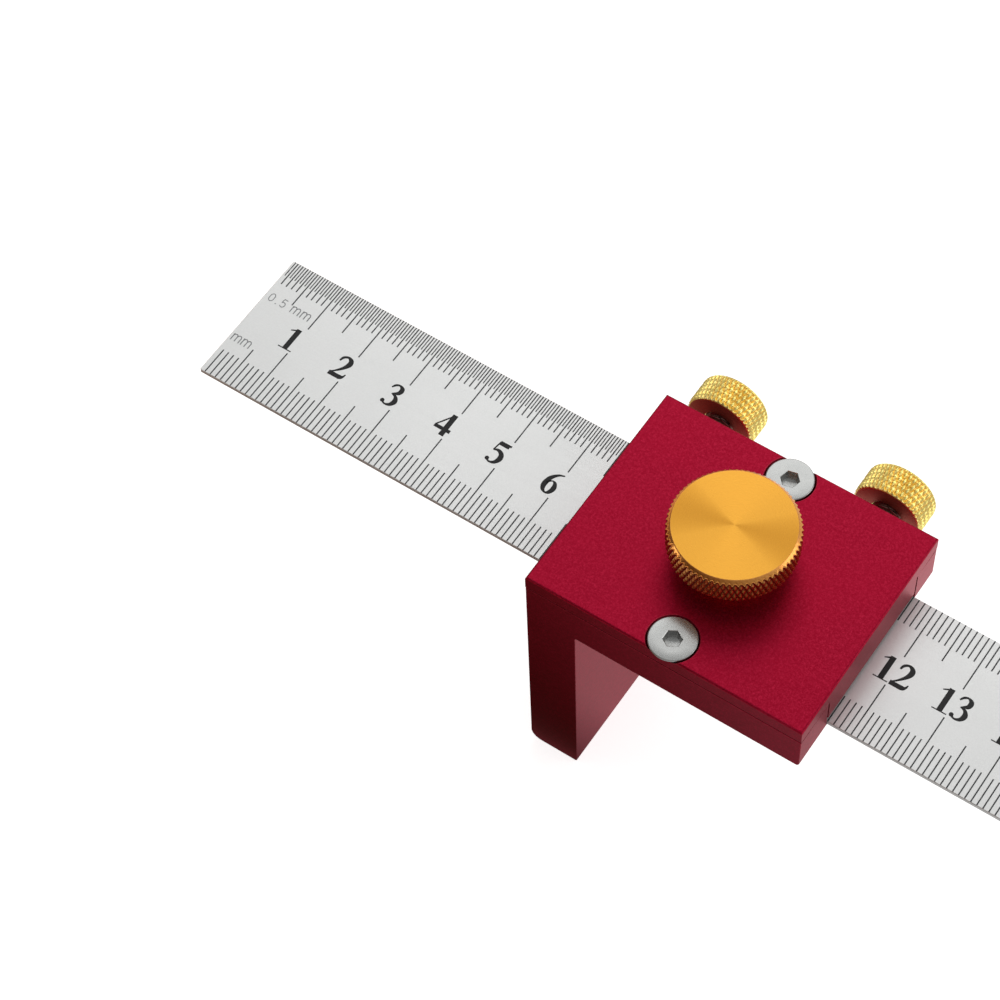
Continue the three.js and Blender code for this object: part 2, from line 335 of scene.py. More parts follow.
class Nodes:
    """A small wrapper that adds nodes to one material and links them by socket name."""

    def __init__(self, name):
        self.material = bpy.data.materials.new(name)
        self.material.use_nodes = True
        self.tree = self.material.node_tree
        self.shader = self.tree.nodes["Principled BSDF"]
        self.coords = self.add("ShaderNodeTexCoord").outputs["Object"]

    def add(self, kind, **settings):
        node = self.tree.nodes.new(kind)
        for key, value in settings.items():
            setattr(node, key, value)
        return node

    def link(self, source, target):
        self.tree.links.new(source, target)

    def feed(self, target, value):
        """Links a socket, or sets a plain value."""
        if hasattr(value, "is_output"):
            self.link(value, target)
        else:
            target.default_value = value

    def scaled(self, scale):
        mapping = self.add("ShaderNodeMapping")
        self.link(self.coords, mapping.inputs["Vector"])
        mapping.inputs["Scale"].default_value = [s / MM for s in scale]
        return mapping.outputs["Vector"]

    def noise(self, scale, detail=3.0, roughness=0.5):
        """Noise whose features are about 1 / scale millimetres; scale is one number or three."""
        triple = scale if isinstance(scale, tuple) else (scale,) * 3
        node = self.add("ShaderNodeTexNoise")
        self.link(self.scaled(triple), node.inputs["Vector"])
        node.inputs["Scale"].default_value = 1.0
        node.inputs["Detail"].default_value = detail
        node.inputs["Roughness"].default_value = roughness
        return node.outputs["Fac"]

    def math(self, operation, first, second=0.0):
        node = self.add("ShaderNodeMath", operation=operation)
        self.feed(node.inputs[0], first)
        self.feed(node.inputs[1], second)
        return node.outputs[0]

    def remap(self, value, low, high, new_low, new_high):
        node = self.add("ShaderNodeMapRange")
        self.feed(node.inputs["Value"], value)
        node.inputs["From Min"].default_value = low
        node.inputs["From Max"].default_value = high
        node.inputs["To Min"].default_value = new_low
        node.inputs["To Max"].default_value = new_high
        return node.outputs["Result"]

    def blend_values(self, factor, first, second):
        """Mixes two numbers, which are sockets 2 and 3 of the mix node."""
        node = self.add("ShaderNodeMix", data_type="FLOAT")
        self.feed(node.inputs[0], factor)
        self.feed(node.inputs[2], first)
        self.feed(node.inputs[3], second)
        return node.outputs[0]

    def mix(self, factor, first, second):
        """Mixes two colours, which are sockets 6 and 7 of the mix node."""
        node = self.add("ShaderNodeMix", data_type="RGBA")
        self.feed(node.inputs[0], factor)
        self.feed(node.inputs[6], first)
        self.feed(node.inputs[7], second)
        return node.outputs[2]

    def bump(self, height, strength, distance):
        node = self.add("ShaderNodeBump")
        node.inputs["Strength"].default_value = strength
        node.inputs["Distance"].default_value = distance * MM
        self.link(height, node.inputs["Height"])
        return node.outputs["Normal"]

    def edge_mask(self, radius):
        """1 along sharp edges and 0 on flats, from how far a rounded normal turns."""
        bevel = self.add("ShaderNodeBevel", samples=4)
        bevel.inputs["Radius"].default_value = radius * MM
        geometry = self.add("ShaderNodeNewGeometry")
        dot = self.add("ShaderNodeVectorMath", operation="DOT_PRODUCT")
        self.link(bevel.outputs["Normal"], dot.inputs[0])
        self.link(geometry.outputs["Normal"], dot.inputs[1])
        turn = self.math("SUBTRACT", 1.0, dot.outputs["Value"])
        return self.remap(turn, 0.02, 0.25, 0.0, 1.0)

    def set(self, **values):
        names = {
            "color": "Base Color",
            "metallic": "Metallic",
            "roughness": "Roughness",
            "normal": "Normal",
            "anisotropic": "Anisotropic",
            "tangent": "Tangent",
        }
        for key, value in values.items():
            self.feed(self.shader.inputs[names[key]], value)
        return self.material


def rgb(red, green, blue):
    """An sRGB colour in 0..255 as a linear RGBA colour."""

    def linear(channel):
        c = channel / 255
        return c / 12.92 if c <= 0.04045 else ((c + 0.055) / 1.055) ** 2.4

    return (linear(red), linear(green), linear(blue), 1.0)


# --------------------------------------------------------------------------- materials


def red_anodised():
    """Fine bead-blasted aluminium under a red anodised skin, a little paler at its edges, partly from
    wear and partly as a painted highlight.
    """
    n = Nodes("red_anodised")
    grain = n.noise(5.0, detail=4.0, roughness=0.65)
    cloud = n.noise(0.12, detail=2.0)
    fleck = n.noise(2.2, detail=2.0)
    speck = n.remap(grain, 0.35, 0.65, 0.0, 1.0)
    tone = n.mix(speck, rgb(138, 10, 36), rgb(184, 34, 64))
    patch = n.mix(n.remap(fleck, 0.38, 0.62, 0.0, 0.55), tone, rgb(140, 10, 36))
    drift = n.mix(n.remap(cloud, 0.3, 0.7, 0.0, 0.25), patch, rgb(168, 20, 50))
    # Paler edges: partly worn anodising, partly a painted highlight where the chamfers catch the
    # light.
    color = n.mix(n.math("MULTIPLY", n.edge_mask(0.3), 0.4), drift, rgb(210, 92, 106))
    return n.set(
        color=color,
        metallic=1.0,
        roughness=n.remap(grain, 0.3, 0.7, 0.40, 0.50),
        normal=n.bump(grain, 0.4, 0.015),
    )


def gold_turned(name, deep, bright, wear_and_sheen, groove_shade, rough=0.2):
    """Gold anodised aluminium: fine turning rings, crests paler partly from wear and partly as a
    painted highlight, and painted shade in the grooves.
    """
    n = Nodes(name)
    ring = n.noise((0.4, 0.4, 14.0), detail=3.0)
    grain = n.noise(3.0, detail=3.0)
    tone = n.mix(n.remap(grain, 0.3, 0.7, 0.0, 1.0), deep, bright)
    # Crests and edges are painted paler: partly wear, partly a painted highlight.
    crest = n.mix(n.math("MULTIPLY", n.edge_mask(0.12), 0.5), tone, wear_and_sheen)
    groove = n.add("ShaderNodeAttribute", attribute_name="groove").outputs["Fac"]
    # The deeper a corner lies in a groove, the darker it is painted: painted shade in the knurl's
    # grooves.
    color = n.mix(n.remap(groove, 0.06, 0.34, 0.0, 1.0), crest, groove_shade)
    return n.set(
        color=color,
        metallic=1.0,
        roughness=n.remap(ring, 0.3, 0.7, rough, rough + 0.1),
        normal=n.bump(ring, 0.25, 0.01),
    )


def spun_gold(name, centre, axis, deep, bright, shaded):
    """A spun end face round a centre in millimetres, square to the Y or the Z axis.

    Fine rings stretch the highlights, and two opposite wedges are painted darker: painted shade
    standing in for the spun face's reflection.
    """
    rings_per_mm = 22.0
    wedge_turn = math.radians(12)
    n = Nodes(name)
    separate = n.add("ShaderNodeSeparateXYZ")
    offset = n.add("ShaderNodeVectorMath", operation="SUBTRACT")
    n.link(n.coords, offset.inputs[0])
    offset.inputs[1].default_value = tuple(c * MM for c in centre)
    n.link(offset.outputs["Vector"], separate.inputs[0])
    x, y = separate.outputs["X"], separate.outputs["Y" if axis == "Z" else "Z"]
    radius = n.math("SQRT", n.math("ADD", n.math("MULTIPLY", x, x), n.math("MULTIPLY", y, y)))
    ring_height = n.add("ShaderNodeTexNoise", noise_dimensions="1D")
    n.feed(ring_height.inputs["W"], n.math("MULTIPLY", radius, rings_per_mm / MM))
    ring_height.inputs["Scale"].default_value = 1.0
    ring_height.inputs["Detail"].default_value = 4.0
    rings = ring_height.outputs["Fac"]
    # Painted shade in two opposite wedges, in place of the anisotropic reflection of a spun face.
    angle = n.math("SUBTRACT", n.math("ARCTAN2", y, x), wedge_turn)
    wedges = n.math("COSINE", n.math("MULTIPLY", angle, 2.0))
    dark = n.remap(wedges, 0.35, 1.0, 0.0, 0.55)
    tone = n.mix(n.remap(rings, 0.35, 0.65, 0.0, 1.0), deep, bright)
    tangent = n.add("ShaderNodeTangent", direction_type="RADIAL", axis=axis)
    return n.set(
        color=n.mix(dark, tone, shaded),
        metallic=1.0,
        roughness=n.remap(rings, 0.3, 0.7, 0.26, 0.36),
        anisotropic=0.75,
        tangent=tangent.outputs["Tangent"],
        normal=n.bump(rings, 0.12, 0.008),
    )


def rule_steel():
    """Satin plated steel, faintly brushed along its length."""
    n = Nodes("rule_steel")
    brush = n.noise((0.05, 5.0, 5.0), detail=4.0, roughness=0.6)
    satin = n.noise(3.5, detail=3.0)
    cloud = n.noise(0.06, detail=2.0)
    tone = n.mix(n.remap(brush, 0.3, 0.7, 0.0, 1.0), rgb(234, 235, 234), rgb(240, 241, 240))
    fine = n.mix(n.remap(satin, 0.35, 0.65, 0.0, 0.5), tone, rgb(229, 230, 229))
    drift = n.mix(n.remap(cloud, 0.3, 0.7, 0.0, 0.4), fine, rgb(225, 227, 226))
    color = n.mix(n.math("MULTIPLY", n.edge_mask(0.12), 0.5), drift, rgb(246, 246, 246))
    return n.set(
        color=color,
        metallic=0.55,
        roughness=n.remap(brush, 0.3, 0.7, 0.36, 0.44),
        normal=n.bump(satin, 0.15, 0.008),
    )


def etched_ink(name, dark, light):
    """Etched and inked graduation marks, slightly uneven in tone."""
    n = Nodes(name)
    blot = n.noise(6.0, detail=3.0)
    return n.set(
        color=n.mix(n.remap(blot, 0.3, 0.7, 0.0, 1.0), dark, light),
        metallic=0.0,
        roughness=n.remap(blot, 0.3, 0.7, 0.5, 0.7),
        normal=n.bump(blot, 0.2, 0.005),
    )


def screw_steel(name, deep, bright, cloudy, wear_and_sheen):
    """Plated steel screws and studs: deep and bright mottle, cloudier patches, and edges painted
    paler, partly from wear and partly as a painted highlight.
    """
    n = Nodes(name)
    grain = n.noise(7.0, detail=4.0)
    cloud = n.noise(0.8, detail=2.0)
    tone = n.mix(n.remap(grain, 0.3, 0.7, 0.0, 1.0), deep, bright)
    drift = n.mix(n.remap(cloud, 0.3, 0.7, 0.0, 0.35), tone, cloudy)
    # Paler edges: partly wear, partly a painted highlight on the rims.
    color = n.mix(n.math("MULTIPLY", n.edge_mask(0.1), 0.5), drift, wear_and_sheen)
    return n.set(
        color=color,
        metallic=0.9,
        roughness=n.remap(grain, 0.3, 0.7, 0.22, 0.34),
        normal=n.bump(grain, 0.06, 0.003),
    )


def brass():
    """Turned brass shoes inside the block."""
    n = Nodes("turned_brass")
    grain = n.noise((1.0, 1.0, 9.0), detail=3.0)
    tone = n.mix(n.remap(grain, 0.3, 0.7, 0.0, 1.0), rgb(186, 146, 70), rgb(212, 172, 92))
    return n.set(
        color=n.mix(n.math("MULTIPLY", n.edge_mask(0.12), 0.4), tone, rgb(236, 206, 140)),
        metallic=0.95,
        roughness=n.remap(grain, 0.3, 0.7, 0.28, 0.42),
        normal=n.bump(grain, 0.2, 0.008),
    )


def pale_floor():
    """A white sweep to the camera, with a reflection of its own for the metal.

    Round the block the reflection is dark and warm close by on the near side, bright on the far
    side, and wood-coloured beyond the fence, where the marked board would lie. It evens out
    farther off.
    """
    n = Nodes("pale_floor")
    cloud = n.noise(0.004, detail=2.0)
    n.set(color=n.mix(cloud, (0.9, 0.9, 0.9, 1.0), (0.92, 0.92, 0.915, 1.0)), roughness=0.9)
    n.feed(n.shader.inputs["Emission Color"], WHITE)
    n.feed(n.shader.inputs["Emission Strength"], FLOOR_GLOW)
    place = n.add("ShaderNodeSeparateXYZ")
    n.link(n.coords, place.inputs[0])
    x, y = place.outputs["X"], place.outputs["Y"]
    along_rule = n.math("MULTIPLY", x, 0.0065 / MM)
    towards_viewer = n.math("MULTIPLY", y, -0.008 / MM)
    openness = n.math("ADD", along_rule, towards_viewer)
    near_side = n.remap(openness, 0.28, 1.0, 0.055, 0.66)
    board = n.remap(x, -14 * MM, -2 * MM, 1.0, 0.0)
    far_side = n.blend_values(board, n.remap(y, 4 * MM, 34 * MM, 0.71, 1.2), 0.4)
    side = n.remap(y, -24 * MM, -10 * MM, 0.0, 1.0)
    close = n.blend_values(side, near_side, far_side)
    distance = n.add("ShaderNodeVectorMath", operation="LENGTH")
    n.link(n.coords, distance.inputs[0])
    away = n.remap(distance.outputs["Value"], 90 * MM, 220 * MM, 0.0, 1.0)
    level = n.blend_values(away, close, 0.8)
    reflected = n.add("ShaderNodeEmission")
    n.link(level, reflected.inputs["Strength"])
    warm = n.remap(level, 0.08, 0.24, 1.0, 0.0)
    wooden = n.mix(board, WHITE, (1.0, 0.72, 0.56, 1.0))
    n.link(n.mix(warm, wooden, (1.0, 0.5, 0.3, 1.0)), reflected.inputs["Color"])
    path = n.add("ShaderNodeLightPath")
    mixed = n.add("ShaderNodeMixShader")
    n.link(path.outputs["Is Camera Ray"], mixed.inputs[0])
    n.link(reflected.outputs[0], mixed.inputs[1])
    n.link(n.shader.outputs[0], mixed.inputs[2])
    n.link(mixed.outputs[0], n.tree.nodes["Material Output"].inputs["Surface"])
    return n.material


CLAMP_LOW, CLAMP_HIGH = box_mm("clamp_knob")
CLAMP_CENTRE = (CLAMP_LOW + CLAMP_HIGH) / 2

RED = red_anodised()
GOLD = gold_turned(
    "gold_turned", rgb(222, 146, 70), rgb(240, 168, 92), rgb(255, 218, 176), rgb(150, 84, 62)
)
# A brighter copy of the gold for the side knobs: painted highlight for the strong light their knurl
# catches.
LIT_PALE_GOLD = gold_turned(
    "pale_gold_painted_highlight", rgb(255, 230, 120), rgb(255, 243, 158), rgb(255, 250, 205), rgb(234, 176, 78), 0.24
)
# Darker, reddish gold for the side knobs' inner faces: painted shade in the gap at the block, with a
# painted reflection of the red block.
SHADED_INNER_GOLD = gold_turned(
    "gold_inner_face_painted_shade", rgb(196, 112, 96), rgb(208, 124, 104), rgb(220, 150, 120), rgb(150, 84, 66), 0.5
)
CLAMP_FACE = spun_gold(
    "gold_spun_face", CLAMP_CENTRE, "Z", rgb(212, 152, 56), rgb(222, 162, 65), rgb(178, 120, 38)
)
STEEL = rule_steel()
INK = etched_ink("black_ink", rgb(8, 8, 9), rgb(24, 24, 26))
TICK_INK = etched_ink("tick_ink", rgb(46, 48, 50), rgb(72, 74, 76))
UNIT_INK = etched_ink("unit_ink", rgb(128, 130, 132), rgb(150, 152, 154))
ZINC = screw_steel(
    "zinc_plate", rgb(172, 173, 171), rgb(184, 185, 183), rgb(162, 164, 163), rgb(246, 240, 238)
)
# Steel for the studs, painted dark and reddish: painted shade between the knobs and the block, and a
# painted reflection of the red block.
SHADED_STUD_STEEL = screw_steel(
    "stud_steel_painted_shade", rgb(116, 88, 82), rgb(136, 104, 96), rgb(100, 76, 70), rgb(160, 138, 128)
)
BRASS = brass()

# ------------------------------------------------------------------------ the red block


def fence_outline():
    """The body seen along Y: flange above, leg hanging at the fence end."""
    end = BODY_HIGH.x
    foot = BODY_LOW.z
    under = FLANGE_UNDERSIDE
    toe = LEG_TOE_R
    fillet = LEG_FILLET_R
    corner = FLANGE_CORNER_R
    outline = [(0.0, BODY_HIGH.z)]
    outline += arc(LEG_CORNER_R, foot + LEG_CORNER_R, LEG_CORNER_R, 180, 270, 8)
    outline += arc(LEG_THICKNESS - toe, foot + toe, toe, 270, 360, 3)
    outline += arc(LEG_THICKNESS + fillet, under - fillet, fillet, 180, 90, 4)
    outline += arc(end - corner, under + corner, corner, 270, 360, 6)
    outline += [(end, BODY_HIGH.z)]
    return outline


def screw_holes():
    """Centre of each cover screw, from its CAD node."""
    places = {}
    for node in ("cover_screw_near", "cover_screw_far"):
        low, high = box_mm(node)
        places[node] = ((low.x + high.x) / 2, (low.y + high.y) / 2)
    return places


def fence_body():
    """The block, with its channel, the cover screws' holes and the side screws' countersunk bores."""
    near_y, far_y = BODY_LOW.y, BODY_HIGH.y
    body = prism("fence_block", fence_outline(), [(near_y, 0), (far_y, 0)], along_y)

    def round_a_side(p, q):
        return any(near(p.y, y) and near(q.y, y) for y in (near_y, far_y))

    round_edges(body, round_a_side, EDGE_BREAK)
    top = BODY_HIGH.z
    end = BODY_HIGH.x
    beyond = 5
    channel = slab("channel", -beyond, end + beyond, -CHANNEL_HALF, CHANNEL_HALF, 0, top + beyond)
    cut(body, channel)
    hole_r = 2.15
    hole_floor = 0.4
    for x, y in screw_holes().values():
        profile = [(0, hole_floor), (hole_r, hole_floor)]
        profile += [(hole_r, top + OVERCUT), (0, top + OVERCUT)]
        cut(body, moved(turned("hole", profile, 48), x, y, 0))
    bore_r = 2.65
    mouth_r = 3.3
    inner_end = 10
    outer_end = far_y + 2
    for node in ("side_stud_fence_end", "side_stud_free_end"):
        low, high = box_mm(node)
        centre = (low + high) / 2
        profile = [(0, inner_end), (bore_r, inner_end), (bore_r, far_y - 0.35)]
        profile += [(mouth_r, far_y + 0.3), (mouth_r, outer_end), (0, outer_end)]
        bore = axis_to_y(turned("bore", profile, 64))
        cut(body, moved(bore, centre.x, 0, centre.z))
    return publish(body, "fence", RED, "fence_body")


def cover_outline():
    """The cover seen along X: the plate, stepped back at its seam, and the tongue below it."""
    seam = BODY_HIGH.z
    near_y, far_y = COVER_LOW.y, COVER_HIGH.y
    return [
        (near_y + SEAM_DEEP, seam),
        (-TONGUE_HALF, seam),
        (-TONGUE_HALF, COVER_LOW.z),
        (TONGUE_HALF, COVER_LOW.z),
        (TONGUE_HALF, seam),
        (far_y - SEAM_DEEP, seam),
        (far_y - SEAM_DEEP, seam + SEAM_BREAK),
        (far_y, seam + SEAM_BREAK),
        (far_y, COVER_HIGH.z),
        (near_y, COVER_HIGH.z),
        (near_y, seam + SEAM_BREAK),
        (near_y + SEAM_DEEP, seam + SEAM_BREAK),
    ]


def cover_plate():
    """The cover, with two countersunk holes and the clamp screw's hole above its pad's pocket."""
    seam, top = BODY_HIGH.z, COVER_HIGH.z
    cover = prism("cover", cover_outline(), [(0, 0), (COVER_HIGH.x, 0)], along_x)
    round_edges(cover, lambda p, q: near(p.z, top) and near(q.z, top), COVER_CHAMFER, 3)

    def end_of_the_seam(p, q):
        return near(p.z, seam) and near(q.z, seam) and near(p.x, q.x)

    round_edges(cover, end_of_the_seam, SEAM_BREAK, 1)
    hole_r = 2.25
    sink_r = 4.05
    mouth_r = 4.17
    for x, y in screw_holes().values():
        profile = [(0, seam - OVERCUT), (hole_r, seam - OVERCUT), (hole_r, top - 2.0)]
        profile += [(sink_r, top - 0.25), (sink_r, top - 0.06), (mouth_r, top + 0.06)]
        profile += [(mouth_r, top + OVERCUT), (0, top + OVERCUT)]
        cut(cover, moved(turned("countersink", profile, 96), x, y, 0))
    pocket_r = 5
    pocket_top = box_mm("clamp_pad")[1].z + 1.1
    clamp_r = 3.15
    clamp_mouth_r = 3.6
    profile = [(0, 0), (pocket_r, 0), (pocket_r, pocket_top), (clamp_r, pocket_top)]
    profile += [(clamp_r, top - 0.4), (clamp_mouth_r, top + 0.05)]
    profile += [(clamp_mouth_r, top + OVERCUT), (0, top + OVERCUT)]
    cut(cover, moved(turned("clamp_hole", profile, 96), CLAMP_CENTRE.x, CLAMP_CENTRE.y, 0))
    return publish(cover, "fence", RED, "cover_plate")


# ------------------------------------------------------------------- the cover screws


def cover_screw(node, piece_name, turn):
    """Countersunk hex-socket screw with a rounded rim and a coned socket floor.

    turn is the angle at which the socket has been left, in degrees.
    """
    low, high = box_mm(node)
    head_r = (high.x - low.x) / 2
    shank_r = SCREW_SHANK_R
    top = high.z - low.z
    rim = top - 0.35
    neck = rim - (head_r - shank_r)
    profile = [(0, 0), (shank_r - 0.5, 0), (shank_r, 0.5)]
    profile += [(shank_r, h) for h in rows(0.6, neck - 0.2, 0.1)]
    profile += [(shank_r, neck), (head_r, rim), (head_r, top - 0.1)]
    profile += [(head_r - 0.02, top - 0.06), (head_r - 0.08, top - 0.02), (head_r - 0.18, top)]
    profile += [(2.2, top), (0, top)]
    screw = turned(piece_name, profile, 96, screw_relief(neck))
    across_flats = 2.62
    hexagon = arc(0, 0, across_flats / math.sqrt(3), turn, turn + 300, 5)
    levels = [(top - 1.55, 0), (top - 0.09, 0), (top + 0.1, -0.19)]
    cut(screw, prism("socket", hexagon, levels, along_z))
    drill_r = 1.15
    drill = [(0, top - 1.75), (drill_r, top - 1.6), (drill_r, top - 1.5), (0, top - 1.5)]
    cut(screw, turned("drill_point", drill, 48))
    moved(screw, (low.x + high.x) / 2, (low.y + high.y) / 2, low.z)
    return publish(screw, "fence", ZINC, node)


def screw_relief(neck):
    """The cover screw's thread, which ends below its head's cone."""
    thread_limit = thread(SCREW_SHANK_R, SCREW_PITCH, 0.36, 0.0)

    def limit(angle, height):
        return UNCUT if height > neck - 0.25 else thread_limit(angle, height)

    return limit


# ------------------------------------------------------------------------- the knobs


def clamp_knob():
    """Large knob: knurled head with a chamfered spun face, on a turned neck."""
    low, high = CLAMP_LOW, CLAMP_HIGH
    outer = (high.x - low.x) / 2
    top = high.z - low.z
    under = top - 5.2
    face_r = outer - 0.75
    diamonds = knurl(outer, 72, 2.3, 0.34)

    def limit(angle, height):
        return diamonds(angle, height) if height > under + 0.01 else UNCUT

    bore_r = 3.05
    bore_deep = 5.8
    neck_r = 5.5
    profile = [(0, bore_deep), (bore_r, bore_deep), (bore_r, 0.15), (bore_r + 0.15, 0)]
    profile += [(neck_r - 0.2, 0), (neck_r - 0.05, 0.06), (neck_r, 0.2)]
    profile += [(neck_r, under - 0.3), (neck_r + 0.1, under - 0.1), (neck_r + 0.3, under)]
    profile += [(outer - 0.45, under)]
    profile += [(outer - 0.45 + h * 0.9, under + 0.02 + h) for h in (0.0, 0.15, 0.3, 0.45)]
    profile += [(outer, h) for h in rows(under + 0.6, top - 0.75, 0.2)]
    chamfer = [0.0, 0.16, 0.32, 0.48, 0.6]
    profile += [(outer - 0.1 - d, top - 0.62 + d) for d in chamfer]
    profile += [(face_r, top)]
    knob = turned("clamp_knob_head", profile, 576, limit)
    close_top(knob, top)
    moved(knob, CLAMP_CENTRE.x, CLAMP_CENTRE.y, low.z)
    publish(knob, "clamp_screw", GOLD, "clamp_knob")
    paint_face(knob, "z", CLAMP_FACE, high.z * MM)
    return knob


def close_top(knob, top):
    """Closes a turned shape whose last ring is open with one flat face."""
    work = bmesh.new()
    work.from_mesh(knob.data)
    rim = [e for e in work.edges if e.is_boundary and all(near(v.co.z, top) for v in e.verts)]
    bmesh.ops.contextual_create(work, geom=rim)
    work.to_mesh(knob.data)
    work.free()
    outward(knob)


def paint_face(obj, axis, material, *heights):
    """Gives the flat faces that lie at some heights in metres on an axis their own material."""
    flat_within = 0.002 * MM
    obj.data.materials.append(material)
    last = len(obj.data.materials) - 1
    for polygon in obj.data.polygons:
        corners = [getattr(obj.data.vertices[v].co, axis) for v in polygon.vertices]
        if any(all(abs(c - height) < flat_within for c in corners) for height in heights):
            polygon.material_index = last


def side_knob(node, body, piece_name):
    """Small knurled knob whose outer face is dished inside a raised ring."""
    low, high = box_mm(node)
    outer = (high.x - low.x) / 2
    width = high.y - low.y
    dish = width - SIDE_FACE_DISH
    diamonds = knurl(outer, 44, 2.2, 0.3)

    def limit(angle, height):
        return diamonds(angle, height) if 0.01 < height < width - 0.01 else UNCUT

    bore_r = 2.55
    bore_deep = 3.6
    profile = [(0, bore_deep), (bore_r, bore_deep), (bore_r, 0.12), (bore_r + 0.15, 0)]
    profile += [(outer - 0.4, 0)]
    profile += [(outer - 0.36 + h, 0.02 + h) for h in (0.0, 0.12, 0.24, 0.36)]
    profile += [(outer, h) for h in rows(0.4, width - 0.45, 0.16)]
    profile += [(outer - 0.02 - d, width - 0.4 + d) for d in (0.0, 0.13, 0.26, 0.38)]
    profile += [(outer - 0.6, width), (outer - 1.6, width), (outer - 1.8, width - 0.12)]
    profile += [(outer - 2.0, dish), (0, dish)]
    knob = axis_to_y(turned(piece_name, profile, 440, limit))
    centre = (low + high) / 2
    moved(knob, centre.x, low.y, centre.z)
    publish(knob, body, LIT_PALE_GOLD, node)
    # The inner face, which looks at the block, gets the painted-shade gold.
    paint_face(knob, "y", SHADED_INNER_GOLD, low.y * MM)
    # The side knob's face is painted paler than the clamp knob's: painted highlight.
    face = spun_gold(
        f"{piece_name}_face", centre, "Y", rgb(232, 184, 84), rgb(244, 200, 98), rgb(204, 152, 60)
    )
    paint_face(knob, "y", face, (high.y - SIDE_FACE_DISH) * MM, high.y * MM)
    return knob


# -------------------------------------------------------------------------- the studs


def stud_profile(length, radius, nose_r, pitch):
    """A threaded rod whose plain nose, at height 0, sits in its pad."""
    nose = STUD_NOSE_LONG
    profile = [(0, 0), (nose_r - 0.1, 0), (nose_r, 0.1), (nose_r, nose)]
    profile += [(radius - 0.45, nose), (radius, nose + 0.45)]
    profile += [(radius, h) for h in rows(nose + 0.5, length - 0.3, pitch / 8)]
    return profile + [(radius - 0.3, length), (0, length)]


def clamp_stud():
    low, high = box_mm("clamp_stud")
    relief = thread(CLAMP_THREAD_R, CLAMP_PITCH, 0.5, STUD_NOSE_LONG + 0.1)
    profile = stud_profile(high.z - low.z, CLAMP_THREAD_R, 1.5, CLAMP_PITCH)
    stud = turned("clamp_stud_thread", profile, 64, relief)
    moved(stud, CLAMP_CENTRE.x, CLAMP_CENTRE.y, low.z)
    return publish(stud, "clamp_screw", SHADED_STUD_STEEL, "clamp_stud", smooth_angle=50)


def side_stud(node, body, piece_name):
    low, high = box_mm(node)
    relief = thread(SIDE_THREAD_R, SIDE_PITCH, 0.42, STUD_NOSE_LONG + 0.1)
    profile = stud_profile(high.y - low.y, SIDE_THREAD_R, SIDE_THREAD_R / 3, SIDE_PITCH)
    stud = axis_to_y(turned(piece_name, profile, 64, relief))
    moved(stud, (low.x + high.x) / 2, low.y, (low.z + high.z) / 2)
    return publish(stud, body, SHADED_STUD_STEEL, node, smooth_angle=50)


# --------------------------------------------------------------------------- the rule


def rule_blade():
    """The blade: square at its zero end, half round at its tail, with a hole to hang it by."""
    half = (RULE_HIGH.y - RULE_LOW.y) / 2
    start, end = RULE_LOW.x, RULE_HIGH.x
    corner = RULE_CORNER_R
    outline = arc(start + corner, -half + corner, corner, 180, 270, 3)
    outline += arc(end - half, 0, half, -90, 90, 48)
    outline += arc(start + corner, half - corner, corner, 90, 180, 3)
    edge = RULE_EDGE_BREAK
    low, top = RULE_BACK, RULE_FACE
    levels = [(low, edge), (low + edge, 0), (top - edge, 0), (top, edge)]
    blade = prism("rule_blade", outline, levels, along_z)
    hole_r = HANGING_HOLE_R
    lip = 0.15
    profile = [(0, -OVERCUT), (hole_r + lip, -OVERCUT), (hole_r + lip, low), (hole_r, low + lip)]
    profile += [(hole_r, top - lip), (hole_r + lip, top), (hole_r + lip, top + OVERCUT)]
    profile += [(0, top + OVERCUT)]
    hole = turned("hanging_hole", profile, 64)
    cut(blade, moved(hole, end - HANGING_HOLE_FROM_END, 0, 0))
    return publish(blade, "rule", STEEL, "steel_rule")


class Ink:
    """Flat marks on the rule, each a thin closed solid that stands a hair above the steel.

    Marks that cross must not share a top, so each mark stands a little above the one before it,
    on a few heights in turn.
    """

    def __init__(self):
        self.verts = []
        self.faces = []
        self.count = 0

    def strip(self, left, right, closed=False):
        """A band between two lines of points."""
        base = len(self.verts)
        low = RULE_FACE - MARK_SUNK
        high = RULE_FACE + MARK_PROUD + MARK_STEP * (self.count % MARK_HEIGHTS)
        self.count += 1
        for a, b in zip(left, right):
            for x, y in (a, b):
                self.verts += [(x, y, low), (x, y, high)]
        count = len(left)
        for i in range(count if closed else count - 1):
            here = base + 4 * i
            there = base + 4 * ((i + 1) % count)
            ring_1 = (here, here + 1, here + 3, here + 2)
            ring_2 = (there, there + 1, there + 3, there + 2)
            for k in range(4):
                m = (k + 1) % 4
                self.faces.append((ring_1[k], ring_1[m], ring_2[m], ring_2[k]))
        if not closed:
            last = base + 4 * (count - 1)
            self.faces.append((base, base + 1, base + 3, base + 2))
            self.faces.append((last, last + 1, last + 3, last + 2))

    def bar(self, x, y0, y1, width):
        half = width / 2
        self.strip([(x - half, y0), (x - half, y1)], [(x + half, y0), (x + half, y1)])

    def dot(self, x, y, radius):
        upper = arc(x, y, radius, 180, 0, 10)
        lower = arc(x, y, radius, 180, 360, 10)
        self.strip(upper[1:-1], lower[1:-1])

    def publish(self, name, material):
        piece = new_object(name, self.verts, self.faces)
        return publish(piece, "rule", material)


def tick_length(mark, long_mark, middle_mark, short_mark):
    if mark % 10 == 0:
        return long_mark
    return middle_mark if mark % 5 == 0 else short_mark


